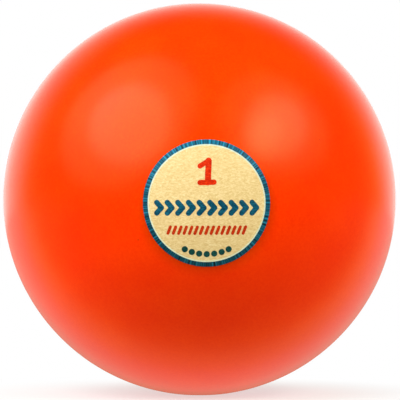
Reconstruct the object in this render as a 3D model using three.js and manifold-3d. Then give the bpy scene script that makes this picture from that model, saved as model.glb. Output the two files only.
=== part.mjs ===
// A soft practice shot put: a hollow ball of soft PVC, filled with dry sand through a neck at the back,
// closed by a plug that snaps into the neck, and marked by a round printed label on the front.
// Millimetres, +Z up. The origin is the ball's centre. The label faces -Y and the plug faces +Y,
// so each piece is a revolve about the Y axis. The soft wall settles to a small flat at -Z.
import * as THREE from 'three';
import { mergeVertices } from 'three/addons/utils/BufferGeometryUtils.js';
import Module from 'manifold-3d';

// Ball
const ballDiameter = 108;
const wallThickness = 5;
const restFlatDiameter = 11; // contact patch of the soft wall under the ball's own weight

// Printed label
const labelDiameter = 33.4; // straight across the disc
const labelBorderWidth = 1.3; // along the surface
const labelFilmThickness = 0.12;

// Filling neck, moulded in one piece with the ball
const neckBore = 9;
const neckLength = 8; // from the plug's seat to the neck's inner end
const neckWall = 3;
const neckRootFillet = 2;
const neckLipRound = 0.8;
const seatMouthRound = 0.5;

// Plug
const plugHeadLip = 2.5; // how far the head reaches past the bore, on each side
const plugHeadThickness = 2; // at the head's edge
const plugHeadRound = 0.4;
const plugFaceRecess = 0.3; // below the ball's surface
const plugStemPlay = 0.6; // between stem and bore, on each side
const plugRibCount = 2;
const plugRibWidth = 1.6;
const plugBarbCatch = 0.9; // how far the barb reaches past the bore, on each side
const plugBarbEdge = 0.6; // straight edge of the barb, before its cone
const plugBarbCone = 2.4;
const plugTipDiameter = 7;
const plugCoreBore = 4; // blind hole that lets the barb fold on its way in
const plugCapThickness = 2.6; // solid end between the blind hole and the outside

// Clearances
const seatGap = 0.2; // round and under the plug's head
const sealGap = 0.15; // between the plug's ribs and the bore
const barbGap = 0.3; // between the barb's shoulder and the neck's end
const sandGap = 0.3; // between the sand and what encloses it

// Facets
const roundSides = 61; // odd, so that a side of the ball and not a corner lies over the rest flat
const plugSides = 40;
const ballStep = THREE.MathUtils.degToRad(6); // along the ball's outside
const cavityStep = THREE.MathUtils.degToRad(9); // along the inside, which nothing shows
const cornerStep = THREE.MathUtils.degToRad(30); // along small rounds

// Sizes that follow from those above
const ballRadius = ballDiameter / 2;
const cavityRadius = ballRadius - wallThickness;
const labelAngle = Math.asin(labelDiameter / 2 / ballRadius);
const fieldAngle = labelAngle - labelBorderWidth / ballRadius;
const boreRadius = neckBore / 2;
const neckRadius = boreRadius + neckWall;
const headRadius = boreRadius + plugHeadLip;
const seatRadius = headRadius + seatGap;
const faceRadius = ballRadius - plugFaceRecess; // the plug's face is part of this sphere
const headEdgeY = Math.sqrt(faceRadius ** 2 - headRadius ** 2);
const headUndersideY = headEdgeY - plugHeadThickness;
const seatY = headUndersideY - seatGap;
const neckEndY = seatY - neckLength;
const stemRadius = boreRadius - plugStemPlay;
const ribRadius = boreRadius - sealGap;
const barbRadius = boreRadius + plugBarbCatch;
const barbTopY = neckEndY - barbGap;
const barbEdgeY = barbTopY - plugBarbEdge;
const tipY = barbEdgeY - plugBarbCone;
const tipRadius = plugTipDiameter / 2;
const coreRadius = plugCoreBore / 2;
const coreEndY = faceRadius - plugCapThickness;
const flatDepth = ballRadius - Math.sqrt(ballRadius ** 2 - (restFlatDiameter / 2) ** 2);

// Directions in the half-section, as angles from the label's axis (-Y) towards the plug's axis (+Y)
const towardsLabel = 0;
const outwards = Math.PI / 2;
const towardsPlug = Math.PI;
const inwards = (3 * Math.PI) / 2;

const centre = new THREE.Vector2(0, 0);

const wasm = await Module();
wasm.setup();

function point(x, y) {
  return new THREE.Vector2(x, y);
}

// A round stretch of the half-section, both ends included.
function arc(middle, radius, from, to, step) {
  const count = Math.max(1, Math.ceil(Math.abs(to - from) / step - 1e-6));
  return Array.from({ length: count + 1 }, (_, i) => {
    const angle = from + ((to - from) * i) / count;
    return point(middle.x + radius * Math.sin(angle), middle.y - radius * Math.cos(angle));
  });
}

// Stretches of the half-section put end to end, with each shared point kept once.
function profile(...stretches) {
  const points = stretches.flat();
  const smallestStep = 1e-5;
  return points.filter((p, i) => i === 0 || p.distanceTo(points[i - 1]) > smallestStep);
}

// A round that runs from a sphere about the centre into a straight wall along the plug's axis.
// Its middle lies one round's radius inside the sphere and one outside the wall.
function roundIntoWall(sphereRadius, wallRadius, radius) {
  const x = wallRadius + radius;
  const y = Math.sqrt((sphereRadius - radius) ** 2 - x ** 2);
  return { middle: point(x, y), angle: Math.PI - Math.atan2(x, y) };
}

const seatMouth = roundIntoWall(ballRadius, seatRadius, seatMouthRound);
const neckRoot = roundIntoWall(cavityRadius, neckRadius, neckRootFillet);
const neckLip = point(neckRadius - neckLipRound, neckEndY + neckLipRound);

function revolve(points, sides) {
  return new THREE.LatheGeometry(points, sides);
}

function toSolid(geometry) {
  const bare = geometry.clone();
  bare.deleteAttribute('normal');
  bare.deleteAttribute('uv');
  const merged = mergeVertices(bare);
  return new wasm.Manifold(
    new wasm.Mesh({
      numProp: 3,
      vertProperties: new Float32Array(merged.attributes.position.array),
      triVerts: new Uint32Array(merged.index.array),
    }),
  );
}

function toGeometry(solid) {
  const { vertProperties, triVerts } = solid.getMesh();
  const geometry = new THREE.BufferGeometry();
  geometry.setAttribute('position', new THREE.BufferAttribute(vertProperties, 3));
  geometry.setIndex(new THREE.BufferAttribute(triVerts, 1));
  geometry.computeVertexNormals();
  return geometry;
}

// The outside of the ball under the label, shared by the shell and the printed film on it.
function underField(radius) {
  return arc(centre, radius, towardsLabel, fieldAngle, ballStep);
}

function underBorder(radius) {
  return arc(centre, radius, fieldAngle, labelAngle, ballStep);
}

// The hollow ball: its outside, the plug's seat, the bore, the neck inside and the cavity.
// One row of facets is centred on the ball's widest circle, so that the flat under it is even.
function shellGeometry() {
  const rowFront = outwards - ballStep / 2;
  const rowBack = outwards + ballStep / 2;
  const section = profile(
    underField(ballRadius),
    underBorder(ballRadius),
    arc(centre, ballRadius, labelAngle, rowFront, ballStep),
    arc(centre, ballRadius, rowBack, seatMouth.angle, ballStep),
    arc(seatMouth.middle, seatMouthRound, seatMouth.angle, inwards, cornerStep),
    [point(seatRadius, seatY), point(boreRadius, seatY), point(boreRadius, neckEndY)],
    arc(neckLip, neckLipRound, towardsLabel, outwards, cornerStep),
    arc(neckRoot.middle, neckRootFillet, inwards, neckRoot.angle, cornerStep),
    arc(centre, cavityRadius, neckRoot.angle, towardsLabel, cavityStep),
  );
  const belowFlat = new THREE.BoxGeometry(ballDiameter, ballDiameter, wallThickness);
  belowFlat.translate(0, 0, flatDepth - ballRadius - wallThickness / 2);
  return toGeometry(toSolid(revolve(section, roundSides)).subtract(toSolid(belowFlat)));
}

// One sealing rib on the plug's stem, from its upper edge down.
function rib(topY) {
  const slope = ribRadius - stemRadius;
  return [
    point(stemRadius, topY),
    point(ribRadius, topY - slope),
    point(ribRadius, topY - plugRibWidth + slope),
    point(stemRadius, topY - plugRibWidth),
  ];
}

// The plug: head, ribbed stem, and a barb that snaps behind the neck's inner end.
function plugGeometry() {
  const stemLength = headUndersideY - barbTopY;
  const plain = (stemLength - plugRibCount * plugRibWidth) / (plugRibCount + 1);
  const ribs = Array.from({ length: plugRibCount }, (_, i) =>
    rib(headUndersideY - plain - i * (plugRibWidth + plain)),
  );
  const headCorner = point(headRadius - plugHeadRound, headEdgeY - plugHeadRound);
  const faceEdge = Math.PI - Math.asin(headCorner.x / faceRadius);
  const section = profile(
    arc(centre, faceRadius, towardsPlug, faceEdge, ballStep),
    arc(headCorner, plugHeadRound, towardsPlug, outwards, cornerStep),
    [point(headRadius, headUndersideY), point(stemRadius, headUndersideY)],
    ribs.flat(),
    [point(stemRadius, barbTopY), point(barbRadius, barbTopY), point(barbRadius, barbEdgeY)],
    [point(tipRadius, tipY), point(coreRadius, tipY)],
    [point(coreRadius, coreEndY), point(0, coreEndY)],
  );
  return revolve(section.reverse(), plugSides);
}

// The sand takes the shape of the cavity, around the neck and the plug's barb.
function sandGeometry() {
  const section = profile(
    arc(centre, cavityRadius - sandGap, towardsLabel, neckRoot.angle, cavityStep),
    arc(neckRoot.middle, neckRootFillet - sandGap, neckRoot.angle, inwards, cornerStep),
    arc(neckLip, neckLipRound + sandGap, outwards, towardsLabel, cornerStep),
    [point(barbRadius + sandGap, neckEndY - sandGap), point(barbRadius + sandGap, barbEdgeY)],
    [point(tipRadius + sandGap, tipY - sandGap), point(0, tipY - sandGap)],
  );
  return revolve(section, roundSides);
}

// The label's film lies on the ball facet for facet, with the border ring round the plain field.
function labelFieldGeometry() {
  const outside = underField(ballRadius + labelFilmThickness);
  return revolve(profile(outside, underField(ballRadius).reverse()), roundSides);
}

function labelBorderGeometry() {
  const outside = underBorder(ballRadius + labelFilmThickness);
  const ring = profile(outside, underBorder(ballRadius).reverse());
  return revolve([...ring, ring[0]], roundSides);
}

function plastic(color, roughness) {
  return new THREE.MeshStandardMaterial({ color, roughness, metalness: 0 });
}

const softOrange = plastic(0xff3f08, 0.42);
const plugOrange = plastic(0xe83a0a, 0.5);
const drySand = plastic(0xcbb083, 0.95);
const printedCream = plastic(0xf3d795, 0.5);
const printedTeal = plastic(0x127a9c, 0.5);

function piece(name, geometry, material) {
  const mesh = new THREE.Mesh(geometry, material);
  mesh.name = name;
  return mesh;
}

const label = new THREE.Group();
label.add(
  piece('label_field', labelFieldGeometry(), printedCream),
  piece('label_border', labelBorderGeometry(), printedTeal),
);

const shotPut = new THREE.Group();
shotPut.add(
  piece('shell', shellGeometry(), softOrange),
  piece('sand_filling', sandGeometry(), drySand),
  piece('filler_plug', plugGeometry(), plugOrange),
  label,
);

export default shotPut;
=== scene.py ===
import math

import bpy
import numpy as np
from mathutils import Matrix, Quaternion, Vector


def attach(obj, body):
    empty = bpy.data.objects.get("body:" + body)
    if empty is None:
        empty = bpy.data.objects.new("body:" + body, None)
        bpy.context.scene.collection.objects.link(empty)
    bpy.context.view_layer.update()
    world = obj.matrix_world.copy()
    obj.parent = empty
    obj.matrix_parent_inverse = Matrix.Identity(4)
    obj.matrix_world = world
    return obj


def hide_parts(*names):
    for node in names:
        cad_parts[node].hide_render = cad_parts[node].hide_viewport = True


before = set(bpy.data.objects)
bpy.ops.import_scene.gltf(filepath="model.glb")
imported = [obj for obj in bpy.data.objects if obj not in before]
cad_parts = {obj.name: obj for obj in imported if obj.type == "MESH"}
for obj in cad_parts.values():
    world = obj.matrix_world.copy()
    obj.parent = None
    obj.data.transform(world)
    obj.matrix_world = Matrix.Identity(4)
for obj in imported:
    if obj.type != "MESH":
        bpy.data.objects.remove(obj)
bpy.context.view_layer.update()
metresPerMm = 0.001
ballRadius = 54.0
labelRadius = 16.7
white = (1.0, 1.0, 1.0, 1.0)
body = "root"
scene = bpy.context.scene
print("frame loaded:", sorted(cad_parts))


def toLinear(hexColour):
    # sRGB hex to linear light: a straight line near black, a 2.4 power above it
    srgb = np.array([int(hexColour[i:i + 2], 16) for i in (1, 3, 5)]) / 255
    linear = np.where(srgb <= 0.04045, srgb / 12.92, ((srgb + 0.055) / 1.055) ** 2.4)
    return (*linear.tolist(), 1.0)


def addNode(tree, kind, values=None, links=None, stops=(), **settings):
    # Sockets go by name or number. In a Mix node 0 is the share, 2 and 3 are numbers, and 6 and 7 colours.
    # stops are a colour ramp's places and colours. New places sort themselves in, so colours come last.
    node = tree.nodes.new(kind)
    for key, value in settings.items():
        setattr(node, key, value)
    for key, value in (values or {}).items():
        node.inputs[key].default_value = value
    for key, socket in (links or {}).items():
        tree.links.new(socket, node.inputs[key])
    if stops:
        marks = node.color_ramp.elements
        marks[0].position, marks[1].position = stops[0][0], stops[-1][0]
        for at, _ in stops[1:-1]:
            marks.new(at)
        for mark, (_, colour) in zip(marks, stops):
            mark.color = toLinear(colour)
    return node


def perMm(size):
    # texture scale that makes one feature about this many millimetres wide on Object coordinates
    return 1 / (size * metresPerMm)


def newMaterial(name):
    # a material with an empty node tree, and the tree
    material = bpy.data.materials.new(name)
    material.use_nodes = True
    material.node_tree.nodes.clear()
    return material, material.node_tree


# Shapes: grids of points, closed into meshes

def arcRow(middle, radius, start, stop, count):
    # points of the half-section on a circle, by angle from the label's axis (-Y) towards the plug's (+Y):
    # distance from the Y axis = middle + radius sin a, place along Y = middle - radius cos a
    a = np.radians(np.linspace(start, stop, count))
    return np.stack([middle[0] + radius * np.sin(a), middle[1] - radius * np.cos(a)], axis=-1)


def lineRow(start, stop, count=2):
    # evenly spaced points of the half-section on a straight line
    return np.linspace(start, stop, count)


def joinRows(*rows):
    # stretches of the half-section end to end, each shared point kept once
    samePoint = 1e-6
    points = np.concatenate(rows)
    step = np.linalg.norm(np.diff(points, axis=0), axis=1)
    return points[np.concatenate([[True], step > samePoint])]


def roundIntoWall(sphereRadius, wallRadius, radius):
    # a round between a sphere and a straight wall along Y: its middle lies one radius inside the sphere
    # and one radius outside the wall. Gives the middle and the angle where it leaves the sphere.
    x = wallRadius + radius
    y = math.sqrt((sphereRadius - radius) ** 2 - x ** 2)
    return (x, y), 180 - math.degrees(math.atan2(x, y))


def revolveGrid(section, sides):
    # each point (r, y) of the half-section goes once round the Y axis: x = r sin t, z = r cos t
    t = np.linspace(0, 2 * math.pi, sides, endpoint=False)
    r, y = section[:, :1], section[:, 1:]
    return np.stack([r * np.sin(t), y + 0 * t, r * np.cos(t)], axis=-1)


def gridFaces(rows, sides, poleFirst=False, poleLast=False, ring=False):
    # quads between neighbouring rows of a revolve, with triangles to one point where a row is a pole
    index = np.arange(rows * sides).reshape(rows, sides)
    if ring:
        index = np.concatenate([index, index[:1]])
    after = np.roll(index, -1, axis=1)
    quads = np.stack([index[:-1], after[:-1], after[1:], index[1:]], axis=-1)
    sets = [quads[int(poleFirst):len(quads) - int(poleLast)].reshape(-1, 4)]
    if poleFirst:
        tip = np.full(sides, index[0, 0])
        sets.append(np.stack([tip, after[1], index[1]], axis=-1))
    if poleLast:
        tip = np.full(sides, index[-1, 0])
        sets.append(np.stack([index[-2], after[-2], tip], axis=-1))
    return sets


def putPiece(name, points, faceSets, material, stands=()):
    # whole arrays into one smooth mesh, sharp only at real corners, riding on the part's one body
    sharpFrom = math.radians(40)
    used, inverse = np.unique(np.concatenate([f.ravel() for f in faceSets]), return_inverse=True)
    splits = np.cumsum([f.size for f in faceSets])[:-1]
    parts = np.split(inverse.ravel(), splits)
    faces = [row for part, f in zip(parts, faceSets) for row in part.reshape(f.shape).tolist()]
    mesh = bpy.data.meshes.new(name)
    mesh.from_pydata((points.reshape(-1, 3)[used] * metresPerMm).tolist(), [], faces)
    mesh.shade_smooth()
    mesh.set_sharp_from_angle(angle=sharpFrom)
    mesh.materials.append(material)
    piece = bpy.data.objects.new(name, mesh)
    scene.collection.objects.link(piece)
    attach(piece, body)
    if stands:
        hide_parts(*stands)


# Materials

pvc = {
    "deep": "#F32B00", "colour": "#F73300", "warm": "#FB3B00", "levels": (0.3, 0.5, 0.7),
    "mottle": 16.0, "mottleDetail": 3.0,
    "grain": 0.7, "grainDetail": 2.0, "grainShare": 0.5, "grainHeight": 0.012,
    "unevenness": 6.0, "unevenDetail": 1.0, "unevenHeight": 0.006,
    "speck": "#8E2406", "speckEvery": 9.0, "speckRadius": 0.2, "speckCore": 0.4,
    "labelRimTint": "#DCFFFF", "rimTintFrom": 17.2, "rimTintTo": 21.0,  # by distance from the label's middle
    "roughLow": 0.215, "roughHigh": 0.245, "ior": 1.53, "specular": 0.22, "sheenTint": "#FFD388",
}
plugShade = {**pvc, "deep": "#D93004", "colour": "#E23607", "warm": "#E83C08"}


def softPvc(name, look):
    # Soft PVC, moulded against a satin mould: saturated, faintly cloudy and grainy colour with a rare dark
    # speck of the melt, and a broad, slightly uneven sheen that turns pale towards the edge. Round the label
    # the colour is a little darker, most at the label's edge and fading out a few millimetres further on.
    material, tree = newMaterial(name)
    place = addNode(tree, "ShaderNodeTexCoord").outputs["Object"]
    cloud = addNode(tree, "ShaderNodeTexNoise",
                    {"Scale": perMm(look["mottle"]), "Detail": look["mottleDetail"]}, {"Vector": place})
    grain = addNode(tree, "ShaderNodeTexNoise",
                    {"Scale": perMm(look["grain"]), "Detail": look["grainDetail"]}, {"Vector": place})
    depth = addNode(tree, "ShaderNodeMix", {0: look["grainShare"]},
                    {2: cloud.outputs["Fac"], 3: grain.outputs["Fac"]}, data_type="FLOAT")
    tint = addNode(tree, "ShaderNodeValToRGB", links={"Fac": depth.outputs[0]},
                   stops=tuple(zip(look["levels"], (look["deep"], look["colour"], look["warm"]))))
    cells = addNode(tree, "ShaderNodeTexVoronoi", {"Scale": perMm(look["speckEvery"])}, {"Vector": place})
    reach = look["speckRadius"] / look["speckEvery"]
    inSpeck = addNode(tree, "ShaderNodeMapRange", {"From Min": reach, "From Max": reach * look["speckCore"]},
                      {"Value": cells.outputs["Distance"]})
    specked = addNode(tree, "ShaderNodeMix", {7: toLinear(look["speck"])},
                      {0: inSpeck.outputs["Result"], 6: tint.outputs["Color"]}, data_type="RGBA")
    # a little darker round the label, fading out with distance from its middle
    labelMiddle = Vector((0, -ballRadius, 0)) * metresPerMm
    apart = addNode(tree, "ShaderNodeVectorMath", {1: labelMiddle}, {0: place}, operation="DISTANCE")
    near = addNode(tree, "ShaderNodeMapRange",
                   {"From Min": look["rimTintTo"] * metresPerMm, "From Max": look["rimTintFrom"] * metresPerMm},
                   {"Value": apart.outputs["Value"]})
    rimTinted = addNode(tree, "ShaderNodeMath", links={0: near.outputs["Result"], 1: near.outputs["Result"]},
                   operation="MULTIPLY")
    colour = addNode(tree, "ShaderNodeMix", {7: toLinear(look["labelRimTint"])},
                     {0: rimTinted.outputs["Value"], 6: specked.outputs[2]},
                     data_type="RGBA", blend_type="MULTIPLY")
    slow = addNode(tree, "ShaderNodeTexNoise",
                   {"Scale": perMm(look["unevenness"]), "Detail": look["unevenDetail"]}, {"Vector": place})
    rough = addNode(tree, "ShaderNodeMapRange", {"To Min": look["roughLow"], "To Max": look["roughHigh"]},
                    {"Value": slow.outputs["Fac"]})
    slowBump = addNode(tree, "ShaderNodeBump",
                       {"Strength": 1.0, "Distance": look["unevenHeight"] * metresPerMm},
                       {"Height": slow.outputs["Fac"]})
    bump = addNode(tree, "ShaderNodeBump", {"Strength": 1.0, "Distance": look["grainHeight"] * metresPerMm},
                   {"Height": grain.outputs["Fac"], "Normal": slowBump.outputs["Normal"]})
    shader = addNode(tree, "ShaderNodeBsdfPrincipled",
                     {"IOR": look["ior"], "Specular IOR Level": look["specular"],
                      "Specular Tint": toLinear(look["sheenTint"])},
                     {"Base Color": colour.outputs[2], "Roughness": rough.outputs["Result"],
                      "Normal": bump.outputs["Normal"]})
    addNode(tree, "ShaderNodeOutputMaterial", links={"Surface": shader.outputs["BSDF"]})
    return material


ink = {
    "levels": (0.34, 0.5, 0.66), "grain": 0.33, "grainDetail": 2.0, "stretch": 2.4, "curl": 0.9,
    "line": 0.55, "lineDetail": 1.0, "cloud": 5.0, "cloudDetail": 2.0, "cloudShare": 0.1,
    "filmHeight": 0.01, "ior": 1.48, "rough": 0.34, "specular": 0.17,
}


def padPrintInk(name, dark, middle, light, low="#FFFFFF", high="#FFFFFF", crossLines=False):
    # Pad-printed PVC ink, laid on in one thin pull: a satin film a little uneven in depth, with a fine
    # sideways grain from the pad or, on the border, fine lines across it from the engraved plate. Both are
    # drawn at about half a millimetre, as coarse as they need to show. A colour at the label's lower edge and
    # another at its upper edge, blended by height, are laid over the film: on some films that is painted
    # light.
    material, tree = newMaterial(name)
    place = addNode(tree, "ShaderNodeTexCoord").outputs["Object"]
    at = addNode(tree, "ShaderNodeSeparateXYZ", links={"Vector": place})
    if crossLines:
        turn = addNode(tree, "ShaderNodeMath", links={0: at.outputs["X"], 1: at.outputs["Z"]},
                       operation="ARCTAN2")
        way = addNode(tree, "ShaderNodeCombineXYZ", links={"X": turn.outputs["Value"]})
        fine = addNode(tree, "ShaderNodeTexNoise",
                       {"Scale": labelRadius / ink["line"], "Detail": ink["lineDetail"]},
                       {"Vector": way.outputs["Vector"]})
    else:
        way = addNode(tree, "ShaderNodeMapping", {"Scale": (1.0, ink["stretch"], ink["stretch"])},
                      {"Vector": place})
        fine = addNode(tree, "ShaderNodeTexNoise",
                       {"Scale": perMm(ink["grain"] * ink["stretch"]), "Detail": ink["grainDetail"],
                        "Distortion": ink["curl"]},
                       {"Vector": way.outputs["Vector"]})
    cloud = addNode(tree, "ShaderNodeTexNoise",
                    {"Scale": perMm(ink["cloud"]), "Detail": ink["cloudDetail"]}, {"Vector": place})
    depth = addNode(tree, "ShaderNodeMix", {0: ink["cloudShare"]},
                    {2: fine.outputs["Fac"], 3: cloud.outputs["Fac"]}, data_type="FLOAT")
    tint = addNode(tree, "ShaderNodeValToRGB", links={"Fac": depth.outputs[0]},
                   stops=tuple(zip(ink["levels"], (dark, middle, light))))
    reach = labelRadius * metresPerMm
    height = addNode(tree, "ShaderNodeMapRange", {"From Min": -reach, "From Max": reach},
                     {"Value": at.outputs["Z"]})
    # lower and upper edge colours blended by height: painted shade on the cream, a painted reflection on the
    # ivory
    heightTint = addNode(tree, "ShaderNodeMix", {6: toLinear(low), 7: toLinear(high)},
                   {0: height.outputs["Result"]}, data_type="RGBA")
    colour = addNode(tree, "ShaderNodeMix", {0: 1.0}, {6: tint.outputs["Color"], 7: heightTint.outputs[2]},
                     data_type="RGBA", blend_type="MULTIPLY")
    bump = addNode(tree, "ShaderNodeBump", {"Strength": 1.0, "Distance": ink["filmHeight"] * metresPerMm},
                   {"Height": fine.outputs["Fac"]})
    shader = addNode(tree, "ShaderNodeBsdfPrincipled",
                     {"IOR": ink["ior"], "Roughness": ink["rough"], "Specular IOR Level": ink["specular"]},
                     {"Base Color": colour.outputs[2], "Normal": bump.outputs["Normal"]})
    addNode(tree, "ShaderNodeOutputMaterial", links={"Surface": shader.outputs["BSDF"]})
    return material


sand = {
    "shades": ((0.0, "#7C6240"), (0.35, "#C2A270"), (1.0, "#DCC59A")),
    "grain": 0.6, "height": 0.2, "rough": 0.92, "specular": 0.2,
}


def drySand(name):
    # Washed quartz sand, 0.3 to 0.8 mm: matt, each grain its own shade, with a rough broken surface
    material, tree = newMaterial(name)
    place = addNode(tree, "ShaderNodeTexCoord").outputs["Object"]
    grains = addNode(tree, "ShaderNodeTexVoronoi", {"Scale": perMm(sand["grain"])}, {"Vector": place})
    shade = addNode(tree, "ShaderNodeSeparateColor", links={"Color": grains.outputs["Color"]})
    tint = addNode(tree, "ShaderNodeValToRGB", links={"Fac": shade.outputs["Red"]}, stops=sand["shades"])
    bump = addNode(tree, "ShaderNodeBump", {"Strength": 1.0, "Distance": sand["height"] * metresPerMm},
                   {"Height": grains.outputs["Distance"]}, invert=True)
    shader = addNode(tree, "ShaderNodeBsdfPrincipled",
                     {"Roughness": sand["rough"], "Specular IOR Level": sand["specular"]},
                     {"Base Color": tint.outputs["Color"], "Normal": bump.outputs["Normal"]})
    addNode(tree, "ShaderNodeOutputMaterial", links={"Surface": shader.outputs["BSDF"]})
    return material


ballPvc = softPvc("softPvcSatinMoulded", pvc)
plugPvc = softPvc("softPvcPlugInjected", plugShade)
# the cream is painted a little darker and cooler towards its upper edge: painted shade that evens out the
# light across the label
creamInk = padPrintInk("padPrintCream", "#D9B776", "#E5C88A", "#EFD79F", high="#EFEFF6")
# the teal ring is darker and warmer towards its lower edge
tealInk = padPrintInk("padPrintTealBlue", "#042230", "#115874", "#2492BC", low="#F4C4B2", crossLines=True)
deepTealInk = padPrintInk("padPrintDeepTeal", "#06344A", "#0C4A60", "#186078")
bottleInk = padPrintInk("padPrintBottleGreen", "#0C3432", "#14443F", "#1C544E")
redInk = padPrintInk("padPrintOrangeRed", "#A81A00", "#C62404", "#DC3A0A")
brickInk = padPrintInk("padPrintBrickRed", "#A82606", "#BE300A", "#CC4012")
# the keyline is painted bluer towards its upper edge: a painted reflection of the softboxes' gloss on it
ivoryInk = padPrintInk("padPrintIvory", "#D2D8B2", "#DAE0BE", "#E2E8CA", high="#E0ECFF")
quartzSand = drySand("quartzSandDry")
print("materials made")


# Ball: soft PVC skin with its plug seat, filling neck and cavity

ball = {
    "wall": 5.0, "restFlat": 11.0, "flatRound": 0.12,
    "swell": 0.05,  # slow unevenness of the soft wall
    "waves": ((3.1, 0, 1.3, 0.7), (0, 2.3, 0, -0.4), (0, -2.1, 4.2, 2.0), (5.3, 0, -3.7, 1.1)),
    "lastShare": 0.6,  # waves are turns along x, y and z and a start, and the last counts for less
    "evenFrom": 0.93, "fadeWidth": 0.12,  # where they die out towards the plug, by place along Y
    "seamHeight": 0.05, "seamWidth": 0.22,  # trimmed parting line round the widest circle
    "seamReach": 0.6, "seamRows": 13,  # extra rows of points that carry it, in degrees to each side
    "sides": 240, "rows": 150, "cavityRows": 40,
}
neck = {
    "bore": 4.5, "length": 8.0, "wall": 3.0, "rootRound": 2.0, "lipRound": 0.8, "mouthRound": 0.5,
    "roundRows": 9, "seatRows": 4, "boreRows": 5, "endRows": 3, "lipRows": 6,
}
plug = {
    "headLip": 2.5, "headThickness": 2.0, "headRound": 0.4, "faceRecess": 0.3, "stemPlay": 0.6,
    "ribs": 2, "ribWidth": 1.6, "barbCatch": 0.9, "barbEdge": 0.6, "barbCone": 2.4, "tip": 3.5,
    "core": 2.0, "cap": 2.6, "seatGap": 0.2, "sealGap": 0.15, "barbGap": 0.3,
    "gateDimple": 1.6, "gateDepth": 0.35,  # where the plug was fed in its mould
    "sides": 96, "faceRows": 40, "roundRows": 8, "edgeRows": 3, "coreRows": 4,
}
cavityRadius = ballRadius - ball["wall"]
neckRadius = neck["bore"] + neck["wall"]
headRadius = neck["bore"] + plug["headLip"]
seatRadius = headRadius + plug["seatGap"]
faceRadius = ballRadius - plug["faceRecess"]
headEdgeY = math.sqrt(faceRadius ** 2 - headRadius ** 2)
headUndersideY = headEdgeY - plug["headThickness"]
seatY = headUndersideY - plug["seatGap"]
neckEndY = seatY - neck["length"]
barbTopY = neckEndY - plug["barbGap"]
barbEdgeY = barbTopY - plug["barbEdge"]
tipY = barbEdgeY - plug["barbCone"]
barbRadius = neck["bore"] + plug["barbCatch"]
stemRadius = neck["bore"] - plug["stemPlay"]
mouthMiddle, mouthAngle = roundIntoWall(ballRadius, seatRadius, neck["mouthRound"])
rootMiddle, rootAngle = roundIntoWall(cavityRadius, neckRadius, neck["rootRound"])
lipMiddle = (neckRadius - neck["lipRound"], neckEndY + neck["lipRound"])
floorZ = -math.sqrt(ballRadius ** 2 - (ball["restFlat"] / 2) ** 2)


def onBall(angle, turn, lift=0.0):
    # The outside, by angle off the label's axis (-Y) and turn about it. The radius is the ball's, plus three
    # slow crossing waves and a low ridge at Y = 0, both dying out by the plug, plus the lift. Where that
    # reaches under the floor it is pressed up to it, with a small round at the edge of the flat.
    x, y, z = np.sin(angle) * np.sin(turn), -np.cos(angle) + 0 * turn, np.sin(angle) * np.cos(turn)
    first, cross, second, last = (np.sin(kx * x + ky * y + kz * z + start)
                                  for kx, ky, kz, start in ball["waves"])
    waves = (first * cross + second + last * ball["lastShare"]) / (2 + ball["lastShare"])
    fade = np.clip((ball["evenFrom"] - y) / ball["fadeWidth"], 0, 1)
    ridge = ball["seamHeight"] * np.exp(-(y * ballRadius / ball["seamWidth"]) ** 2)
    radius = ballRadius + fade * (ball["swell"] * waves + ridge) + lift
    points = np.stack([x, y, z], axis=-1) * radius[..., None]
    depth, limit, blend = -points[..., 2], -floorZ, ball["flatRound"]
    near = np.clip(blend - np.abs(depth - limit), 0, None)
    points[..., 2] = -(np.minimum(depth, limit) - near ** 2 / (4 * blend))
    return points


def makeBallSkin():
    # the outside from the label's pole to the mouth of the plug's seat, then the seat, bore, neck and cavity
    seam = 90 + np.linspace(-ball["seamReach"], ball["seamReach"], ball["seamRows"])
    angles = np.radians(np.unique(np.concatenate([np.linspace(0, mouthAngle, ball["rows"]), seam])))
    turns = np.linspace(0, 2 * math.pi, ball["sides"], endpoint=False)
    outside = onBall(angles[:, None], turns[None, :])
    inside = joinRows(
        arcRow(mouthMiddle, neck["mouthRound"], mouthAngle, 270, neck["roundRows"]),
        lineRow((seatRadius, mouthMiddle[1]), (seatRadius, seatY), neck["seatRows"]),
        lineRow((seatRadius, seatY), (neck["bore"], seatY), neck["seatRows"]),
        lineRow((neck["bore"], seatY), (neck["bore"], neckEndY), neck["boreRows"]),
        lineRow((neck["bore"], neckEndY), (lipMiddle[0], neckEndY), neck["endRows"]),
        arcRow(lipMiddle, neck["lipRound"], 0, 90, neck["lipRows"]),
        arcRow(rootMiddle, neck["rootRound"], 270, rootAngle, neck["roundRows"]),
        arcRow((0, 0), cavityRadius, rootAngle, 0, ball["cavityRows"]),
    )[1:]
    grid = np.concatenate([outside, revolveGrid(inside, ball["sides"])])
    faces = gridFaces(len(grid), ball["sides"], poleFirst=True, poleLast=True)
    putPiece("ball_skin", grid, faces, ballPvc, ["shell"])


makeBallSkin()
print("ball skin made")


# Plug: pressed into the neck at the back, flush with the ball

def ribRows(topY):
    # one sealing rib of the stem, from its upper edge down: up a slope, along, and down a slope
    out = neck["bore"] - plug["sealGap"]
    rise = out - stemRadius
    low = topY - plug["ribWidth"]
    return np.array([(stemRadius, topY), (out, topY - rise), (out, low + rise), (stemRadius, low)])


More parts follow.
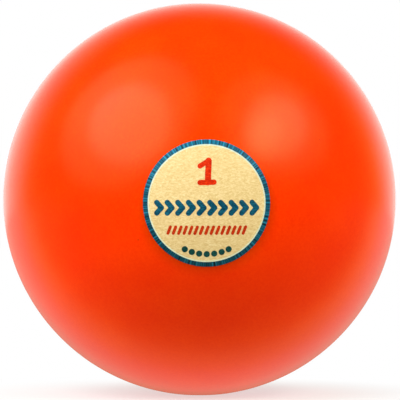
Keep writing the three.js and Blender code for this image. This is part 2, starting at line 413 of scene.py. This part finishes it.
def makePlug():
    # half-section from the middle of the outer face: gate dimple, domed face, head, ribbed stem, barb, core
    coreEndY = faceRadius - plug["cap"]
    plain = (headUndersideY - barbTopY - plug["ribs"] * plug["ribWidth"]) / (plug["ribs"] + 1)
    ribs = [ribRows(headUndersideY - plain - i * (plug["ribWidth"] + plain)) for i in range(plug["ribs"])]
    corner = (headRadius - plug["headRound"], headEdgeY - plug["headRound"])
    faceEdge = 180 - math.degrees(math.asin(corner[0] / faceRadius))
    face = arcRow((0, 0), faceRadius, 180, faceEdge, plug["faceRows"])
    face[:, 1] -= plug["gateDepth"] * np.exp(-(face[:, 0] / plug["gateDimple"]) ** 4)
    section = joinRows(
        face,
        arcRow(corner, plug["headRound"], 180, 90, plug["roundRows"]),
        lineRow((headRadius, corner[1]), (headRadius, headUndersideY), plug["edgeRows"]),
        lineRow((headRadius, headUndersideY), (stemRadius, headUndersideY), plug["edgeRows"]),
        *ribs,
        lineRow((stemRadius, barbTopY), (barbRadius, barbTopY)),
        lineRow((barbRadius, barbTopY), (barbRadius, barbEdgeY)),
        lineRow((barbRadius, barbEdgeY), (plug["tip"], tipY), plug["edgeRows"]),
        lineRow((plug["tip"], tipY), (plug["core"], tipY)),
        lineRow((plug["core"], tipY), (plug["core"], coreEndY), plug["coreRows"]),
        lineRow((plug["core"], coreEndY), (0, coreEndY)),
    )[::-1]
    section[[0, -1], 0] = 0
    faces = gridFaces(len(section), plug["sides"], poleFirst=True, poleLast=True)
    grid = revolveGrid(section, plug["sides"])
    putPiece("filler_plug_moulded", grid, faces, plugPvc, ["filler_plug"])


makePlug()
print("plug made")


# Label: one cream disc, a ring round it and the print on it, each a thin film on the ball

label = {
    "border": 1.3, "keyline": 0.36, "sides": 240, "rows": 40, "ringRows": 4,
    "film": 0.05, "sunk": 0.03,  # each film's top above the ball, and how far its underside bites
    "ringLift": 0.065, "keylineLift": 0.06, "inkLift": 0.075,
    "cell": 0.12, "marginCells": 3, "keepCells": 0.5,  # grid of the printed marks
    "slides": 3, "slopeCells": 0.2, "leastSlope": 0.25,  # how its rim is brought onto their outline
}
labelAngle = math.asin(labelRadius / ballRadius)
fieldAngle = labelAngle - label["border"] / ballRadius
keylineAngle = fieldAngle - label["keyline"] / ballRadius


def ringFilm(inner, outer, lift, rows):
    # a band of the ball between two angles: its top from the inner edge out, its underside back in
    out = np.linspace(inner, outer, rows)
    angles = np.concatenate([out, out[::-1]])[:, None]
    lifts = np.concatenate([np.full(rows, lift), np.full(rows, -label["sunk"])])[:, None]
    turns = np.linspace(0, 2 * math.pi, label["sides"], endpoint=False)[None, :]
    return onBall(angles + 0 * turns, turns + 0 * angles, lifts + 0 * turns)


def makeLabelDisc():
    # the cream field: a film from the label's middle out to the border
    grid = ringFilm(0, fieldAngle, label["film"], label["rows"])
    faces = gridFaces(len(grid), label["sides"], poleFirst=True, poleLast=True)
    putPiece("label_cream_disc", grid, faces, creamInk, ["label_field"])


def makeLabelRing(name, inner, outer, lift, material, stands=()):
    # a closed ring of film between two angles
    grid = ringFilm(inner, outer, lift, label["ringRows"])
    faces = gridFaces(len(grid), label["sides"], ring=True)
    putPiece(name, grid, faces, material, stands)


def strokes(u, v, ends, widths):
    # signed distance to round-ended strokes: the distance to each straight centre line less half its width,
    # and of these the smallest. A dot is a stroke of no length, so the length is kept off zero.
    noLength = 1e-12
    a, b = ends[:, 0], ends[:, 1]
    along = b - a
    p = np.stack([u, v], axis=-1)[..., None, :] - a
    share = np.clip((p * along).sum(-1) / np.maximum((along ** 2).sum(-1), noLength), 0, 1)
    return (np.linalg.norm(p - share[..., None] * along, axis=-1) - widths / 2).min(-1)


def inkPrint(name, ends, widths, material):
    # A printed film, in flat label millimetres (u right, v up) laid on the ball by distance and direction
    # from the label's middle. Cells of a fine grid inside the strokes are kept, and the points on the rim of
    # the kept cells slide down the distance's slope onto the true outline. Top, underside and wall close it.
    ends, widths = np.asarray(ends, float), np.broadcast_to(np.asarray(widths, float), len(ends))
    cell = label["cell"]
    margin = widths.max() / 2 + label["marginCells"] * cell
    low, high = ends.min((0, 1)) - margin, ends.max((0, 1)) + margin
    u, v = np.meshgrid(np.arange(low[0], high[0], cell), np.arange(low[1], high[1], cell), indexing="ij")
    d = strokes(u, v, ends, widths)
    corners = np.stack([d[:-1, :-1], d[1:, :-1], d[1:, 1:], d[:-1, 1:]])
    keep = (corners < label["keepCells"] * cell).all(0)
    padded = np.pad(keep, 1).astype(int)
    around = padded[:-1, :-1] + padded[1:, :-1] + padded[1:, 1:] + padded[:-1, 1:]
    rim = (around > 0) & (around < 4)
    h = label["slopeCells"] * cell
    for _ in range(label["slides"]):
        d = strokes(u, v, ends, widths)
        du = (strokes(u + h, v, ends, widths) - strokes(u - h, v, ends, widths)) / (2 * h)
        dv = (strokes(u, v + h, ends, widths) - strokes(u, v - h, ends, widths)) / (2 * h)
        size = np.maximum(du ** 2 + dv ** 2, label["leastSlope"])
        u, v = np.where(rim, u - d * du / size, u), np.where(rim, v - d * dv / size, v)
    angle, turn = np.hypot(u, v) / ballRadius, np.arctan2(u, v)
    points = np.concatenate([onBall(angle, turn, np.full(u.shape, lift)).reshape(-1, 3)
                             for lift in (label["inkLift"], -label["sunk"])])
    index, under = np.arange(u.size).reshape(u.shape), u.size
    quads = np.stack([index[:-1, :-1], index[1:, :-1], index[1:, 1:], index[:-1, 1:]], axis=-1)
    top = quads[keep]
    sides = []
    for k, (i, j) in enumerate(((0, -1), (1, 0), (0, 1), (-1, 0))):
        beyond = padded[1 + i:padded.shape[0] - 1 + i, 1 + j:padded.shape[1] - 1 + j] == 0
        edge = quads[keep & beyond][:, [k, (k + 1) % 4]]
        sides.append(np.stack([edge[:, 1], edge[:, 0], edge[:, 0] + under, edge[:, 1] + under], axis=-1))
    putPiece(name, points, [top, top[:, ::-1] + under, np.concatenate(sides)], material)


weightMark = {  # numeral 1: stem, flag and foot, as (u, v) ends in millimetres from the label's middle
    "ends": [((0.22, 5.45), (0.5, 11.22)), ((0.5, 11.22), (-1.8, 9.78)), ((-1.8, 5.41), (1.85, 5.53))],
    "widths": [1.62, 1.34, 1.4],
}
chevrons = {"count": 10, "pitch": 2.8, "middle": -1.2, "height": 2.8, "depth": 1.25, "width": 1.42}
slashes = {"count": 15, "pitch": 1.42, "middle": -7.1, "height": 1.7, "depth": 0.65, "width": 0.8}
dotArc = {"radius": 13.5, "reach": 25.5, "count": 7, "width": 1.66}  # reach in degrees to each side


def alongRow(row):
    # places of a row's marks, evenly spaced and centred on the label
    return (np.arange(row["count"]) - (row["count"] - 1) / 2) * row["pitch"]


def chevronRow(row):
    # each chevron is two strokes that meet in a point half the depth to the right of its place
    u, half, tip = alongRow(row), row["height"] / 2, row["depth"] / 2
    point = np.stack([u + tip, 0 * u + row["middle"]], axis=-1)
    ends = [np.stack([u - tip, 0 * u + row["middle"] + side * half], axis=-1) for side in (1, -1)]
    return np.concatenate([np.stack([end, point], axis=1) for end in ends])


def slashRow(row):
    # each slash is one stroke that leans to the right by the depth
    u, half, lean = alongRow(row), row["height"] / 2, row["depth"] / 2
    low = np.stack([u - lean, 0 * u + row["middle"] - half], axis=-1)
    high = np.stack([u + lean, 0 * u + row["middle"] + half], axis=-1)
    return np.stack([low, high], axis=1)


def dotLine(row):
    # round dots along an arc that follows the border, each a stroke of no length
    a = np.radians(np.linspace(-row["reach"], row["reach"], row["count"]))
    points = np.stack([row["radius"] * np.sin(a), -row["radius"] * np.cos(a)], axis=-1)
    return np.stack([points, points], axis=1)


makeLabelDisc()
makeLabelRing("label_teal_ring", fieldAngle, labelAngle, label["ringLift"],
              tealInk, ["label_border"])
makeLabelRing("label_keyline", keylineAngle, fieldAngle, label["keylineLift"], ivoryInk)
inkPrint("weight_mark", weightMark["ends"], weightMark["widths"], redInk)
inkPrint("chevron_row", chevronRow(chevrons), chevrons["width"], deepTealInk)
inkPrint("slash_row", slashRow(slashes), slashes["width"], brickInk)
inkPrint("dot_arc", dotLine(dotArc), dotArc["width"], bottleInk)
print("label made")


# Sand: fills the cavity round the neck and the plug's barb

fill = {
    "gap": 0.3, "lump": 0.1, "seed": 7,
    "sides": 160, "rows": 90, "rootRows": 7, "lipRows": 5, "endRows": 6,
}


def makeSand():
    # the cavity's half-section, a gap inside it, with each grid point moved in by a random part of a grain
    gap = fill["gap"]
    barb, endY = barbRadius + gap, tipY - gap
    section = joinRows(
        arcRow((0, 0), cavityRadius - gap, 0, rootAngle, fill["rows"]),
        arcRow(rootMiddle, neck["rootRound"] - gap, rootAngle, 270, fill["rootRows"]),
        arcRow(lipMiddle, neck["lipRound"] + gap, 90, 0, fill["lipRows"]),
        lineRow((barb, neckEndY - gap), (barb, barbEdgeY)),
        lineRow((plug["tip"] + gap, endY), (0, endY), fill["endRows"]),
    )
    section[[0, -1], 0] = 0
    grid = revolveGrid(section, fill["sides"])
    draws = np.random.default_rng(fill["seed"]).random(grid.shape[:2])
    lumps = draws[..., None] * fill["lump"] / cavityRadius
    lumps[[0, -1]] = 0
    faces = gridFaces(len(section), fill["sides"], poleFirst=True, poleLast=True)
    putPiece("sand_fill", grid * (1 - lumps), faces, quartzSand, ["sand_filling"])


makeSand()
print("sand made")


# Studio: pale floor, two softboxes of several ovals, white surroundings and the camera. Lengths in metres.

floor = {
    "radius": 0.9, "rings": 24, "sides": 96,
    "colour": "#909090", "rough": 0.9, "specular": 0.1, "glow": 0.6,
    "shadowFrom": 0.03, "shadowTo": 0.075,  # the camera sees the shadow up to here, and white beyond
    "share": 0.42, "margin": 0.055,  # where the glow begins, with stops by how far behind that a point lies
    "gloss": {"strength": 1.32, "stops": (
        (-0.16, "#000000"), (0.0, "#E6C650"), (0.12, "#FFFFB0"), (0.3, "#E6E6DB"), (0.5, "#CDCDC0"),
        (0.7, "#A89D85"), (0.95, "#786C59"))},
    "bounce": {"strength": 1.09, "stops": (
        (-0.9, "#000000"), (-0.4, "#CBCBCB"), (0.1, "#FBFBFB"), (0.45, "#F1F1F1"), (0.8, "#DADADA"))},
}
softboxes = {  # key and fill, each a little warm at its edge, and brighter and cooler towards its core
    "key": {"way": (-0.632, -0.367, 0.683), "distance": 1.0, "length": 1.47, "width": 1.47,
            "roll": 0, "tint": "#FFFFD0", "radiance": 2.03},
    "key_core": {"way": (-0.611, -0.445, 0.655), "distance": 0.99, "length": 0.93, "width": 0.75,
                 "roll": -25, "tint": "#EBEBFF", "radiance": 5.92},
    "fill": {"way": (0.614, -0.461, 0.642), "distance": 1.0, "length": 1.24, "width": 1.04,
             "roll": 3, "tint": "#FFFFC0", "radiance": 1.31},
    "fill_middle": {"way": (0.624, -0.488, 0.611), "distance": 0.99, "length": 0.77, "width": 0.53,
                    "roll": 28, "tint": "#FFFFFF", "radiance": 5.02},
    "fill_core": {"way": (0.547, -0.599, 0.585), "distance": 0.98, "length": 0.47, "width": 0.25,
                  "roll": 33, "tint": "#F8F8FF", "radiance": 5.41},
}
room = {
    "turn": -2.0, "front": 0.18, "back": 0.7, "sweepFrom": 0.35, "sweepTo": 0.86,
    "topFrom": 0.17, "topTo": 0.72,
    "gloss": {"strength": 1.55, "stops": (
        (0.1, "#000000"), (0.4, "#BC9330"), (0.55, "#D8C450"), (0.75, "#F2ECD8"), (1.0, "#FFFFFC"))},
}
view = {
    "azimuth": -2.05, "elevation": 1.06, "distance": 1.05, "right": 0.11, "up": -0.15,  # aim in millimetres
    "ballPixels": 196.05, "imagePixels": 400, "sensor": 36.0, "clipEnd": 20.0,
}


def stretchStops(stops):
    # where a glow's stops begin and end, and the same stops stretched to lie from 0 to 1
    first, last = stops[0][0], stops[-1][0]
    return first, last, [((at - first) / (last - first), colour) for at, colour in stops]


def makeFloor():
    # Opal acrylic sheet, lit from below: the camera sees a pale sheet with a light shadow by the ball and
    # plain white further out. Gloss and bounced light see its glow, bright under and behind the ball.
    # Behind is where y lies above a share of the distance from the middle, less a margin.
    # The mesh is rings of points from the middle out, at the height of the rest flat.
    material, tree = newMaterial("opalAcrylicLit")
    path = addNode(tree, "ShaderNodeLightPath")
    place = addNode(tree, "ShaderNodeTexCoord").outputs["Object"]
    along = addNode(tree, "ShaderNodeSeparateXYZ", links={"Vector": place})
    flat = addNode(tree, "ShaderNodeCombineXYZ", links={"X": along.outputs["X"], "Y": along.outputs["Y"]})
    length = addNode(tree, "ShaderNodeVectorMath", links={0: flat.outputs[0]}, operation="LENGTH")
    reach = length.outputs["Value"]
    far = addNode(tree, "ShaderNodeMapRange",
                  {"From Min": floor["shadowFrom"], "From Max": floor["shadowTo"]},
                  {"Value": reach}, interpolation_type="SMOOTHSTEP")
    line = addNode(tree, "ShaderNodeMath", {1: -floor["share"], 2: floor["margin"]}, {0: reach},
                   operation="MULTIPLY_ADD")
    past = addNode(tree, "ShaderNodeMath", links={0: along.outputs["Y"], 1: line.outputs["Value"]},
                   operation="ADD")
    span = addNode(tree, "ShaderNodeMath", {1: floor["margin"]}, {0: reach}, operation="ADD")
    ratio = addNode(tree, "ShaderNodeMath", links={0: past.outputs["Value"], 1: span.outputs["Value"]},
                    operation="DIVIDE")
    glows = {}
    for kind in ("gloss", "bounce"):
        first, last, stops = stretchStops(floor[kind]["stops"])
        share = addNode(tree, "ShaderNodeMapRange", {"From Min": first, "From Max": last},
                        {"Value": ratio.outputs["Value"]})
        ramp = addNode(tree, "ShaderNodeValToRGB", links={"Fac": share.outputs["Result"]}, stops=stops)
        glows[kind] = addNode(tree, "ShaderNodeEmission", {"Strength": floor[kind]["strength"]},
                              {"Color": ramp.outputs["Color"]}).outputs["Emission"]
    mirrored = addNode(tree, "ShaderNodeMath", operation="MAXIMUM",
                       links={0: path.outputs["Is Glossy Ray"], 1: path.outputs["Is Transmission Ray"]})
    sheet = addNode(tree, "ShaderNodeBsdfPrincipled",
                    {"Base Color": toLinear(floor["colour"]), "Roughness": floor["rough"],
                     "Specular IOR Level": floor["specular"], "Emission Color": white,
                     "Emission Strength": floor["glow"]})
    blank = addNode(tree, "ShaderNodeEmission", {"Color": white, "Strength": 1.0})
    shown = addNode(tree, "ShaderNodeMixShader",
                    links={0: far.outputs["Result"], 1: sheet.outputs[0], 2: blank.outputs[0]})
    glowing = addNode(tree, "ShaderNodeMixShader",
                      links={0: mirrored.outputs["Value"], 1: glows["bounce"], 2: glows["gloss"]})
    seen = addNode(tree, "ShaderNodeMixShader",
                   links={0: path.outputs["Is Camera Ray"], 1: glowing.outputs[0], 2: shown.outputs[0]})
    addNode(tree, "ShaderNodeOutputMaterial", links={"Surface": seen.outputs[0]})
    t = np.linspace(0, 2 * math.pi, floor["sides"], endpoint=False)
    r = np.linspace(0, floor["radius"] / metresPerMm, floor["rings"])[:, None]
    points = np.stack([r * np.sin(t), r * np.cos(t), 0 * r * t + floorZ], axis=-1)
    faces = gridFaces(floor["rings"], floor["sides"], poleFirst=True)
    mesh = bpy.data.meshes.new("studio_floor")
    mesh.from_pydata((points.reshape(-1, 3) * metresPerMm).tolist(), [],
                     [row for f in faces for row in f[:, ::-1].tolist()])
    mesh.materials.append(material)
    ground = bpy.data.objects.new("studio_floor", mesh)
    scene.collection.objects.link(ground)


def addSoftbox(name, box):
    # radiance = power / (pi x area of the oval), so the power follows from the brightness seen in the ball.
    # The oval's length lies level before it is rolled about the way that it faces.
    lamp = bpy.data.lights.new(name, "AREA")
    lamp.shape, lamp.size, lamp.size_y = "ELLIPSE", box["length"], box["width"]
    lamp.color = toLinear(box["tint"])[:3]
    lamp.energy = box["radiance"] * math.pi * (math.pi / 4 * box["length"] * box["width"])
    place = bpy.data.objects.new(name, lamp)
    place.location = Vector(box["way"]).normalized() * box["distance"]
    facing = (-place.location).to_track_quat("-Z", "Y")
    place.rotation_euler = (facing @ Quaternion((0, 0, 1), math.radians(box["roll"]))).to_euler()
    place.visible_camera = False
    scene.collection.objects.link(place)


def makeWorld():
    # The camera sees white all round. Gloss sees a sweep behind the ball, amber at its near edge and white
    # further back, that dims upwards. All else sees a dim room in front and a brighter one behind.
    world = bpy.data.worlds.new("whiteSweepStudio")
    scene.world = world
    world.use_nodes = True
    tree = world.node_tree
    tree.nodes.clear()
    path = addNode(tree, "ShaderNodeLightPath")
    turned = addNode(tree, "ShaderNodeMapping", {"Rotation": (0, 0, math.radians(room["turn"]))},
                     {"Vector": addNode(tree, "ShaderNodeTexCoord").outputs["Generated"]})
    way = addNode(tree, "ShaderNodeSeparateXYZ", links={"Vector": turned.outputs["Vector"]})
    behind = addNode(tree, "ShaderNodeMapRange", {"From Min": room["sweepFrom"], "From Max": room["sweepTo"]},
                     {"Value": way.outputs["Y"]})
    under = addNode(tree, "ShaderNodeMapRange", {"From Min": room["topTo"], "From Max": room["topFrom"]},
                    {"Value": way.outputs["Z"]})
    sweep = addNode(tree, "ShaderNodeMath", links={0: behind.outputs["Result"], 1: under.outputs["Result"]},
                    operation="MULTIPLY")
    spread = addNode(tree, "ShaderNodeMapRange", {"To Min": room["front"], "To Max": room["back"]},
                     {"Value": sweep.outputs["Value"]})
    first, last, stops = stretchStops(room["gloss"]["stops"])
    share = addNode(tree, "ShaderNodeMapRange", {"From Min": first, "From Max": last},
                    {"Value": way.outputs["Y"]})
    ramp = addNode(tree, "ShaderNodeValToRGB", links={"Fac": share.outputs["Result"]}, stops=stops)
    glow = addNode(tree, "ShaderNodeMath", {1: room["gloss"]["strength"]}, {0: under.outputs["Result"]},
                   operation="MULTIPLY")
    mirrored = addNode(tree, "ShaderNodeMath", operation="MAXIMUM",
                       links={0: path.outputs["Is Glossy Ray"], 1: path.outputs["Is Transmission Ray"]})
    ambient = addNode(tree, "ShaderNodeBackground", {"Color": white}, {"Strength": spread.outputs["Result"]})
    backdrop = addNode(tree, "ShaderNodeBackground",
                       links={"Color": ramp.outputs["Color"], "Strength": glow.outputs["Value"]})
    blank = addNode(tree, "ShaderNodeBackground", {"Color": white, "Strength": 1.0})
    lit = addNode(tree, "ShaderNodeMixShader",
                  links={0: mirrored.outputs["Value"], 1: ambient.outputs[0], 2: backdrop.outputs[0]})
    seen = addNode(tree, "ShaderNodeMixShader",
                   links={0: path.outputs["Is Camera Ray"], 1: lit.outputs[0], 2: blank.outputs[0]})
    addNode(tree, "ShaderNodeOutputWorld", links={"Surface": seen.outputs[0]})
    # the surroundings differ by kind of ray, so rays find them by themselves
    world.cycles.sampling_method = "NONE"


def makeCamera():
    # the ball's outline in the picture fixes the lens: half the picture spans the ball's edge angle,
    # scaled from the ball's radius in pixels to half the picture's width
    a, e = math.radians(view["azimuth"]), math.radians(view["elevation"])
    back = Vector((math.sin(a) * math.cos(e), -math.cos(a) * math.cos(e), math.sin(e)))
    edge = math.tan(math.asin(ballRadius * metresPerMm / view["distance"]))
    camera = bpy.data.objects.new("photo_camera", bpy.data.cameras.new("photo_camera"))
    camera.data.sensor_width = view["sensor"]
    camera.data.lens = view["sensor"] / 2 / (edge * view["imagePixels"] / 2 / view["ballPixels"])
    camera.data.clip_end = view["clipEnd"]
    turn = (-back).to_track_quat("-Z", "Y")
    aim = (turn @ Vector((view["right"], view["up"], 0))) * metresPerMm
    camera.location = aim + back * view["distance"]
    camera.rotation_euler = turn.to_euler()
    scene.collection.objects.link(camera)
    scene.camera = camera


makeFloor()
for boxName, boxSettings in softboxes.items():
    addSoftbox("softbox_" + boxName, boxSettings)
makeWorld()
makeCamera()
scene.view_settings.view_transform = "Standard"
print("studio made")
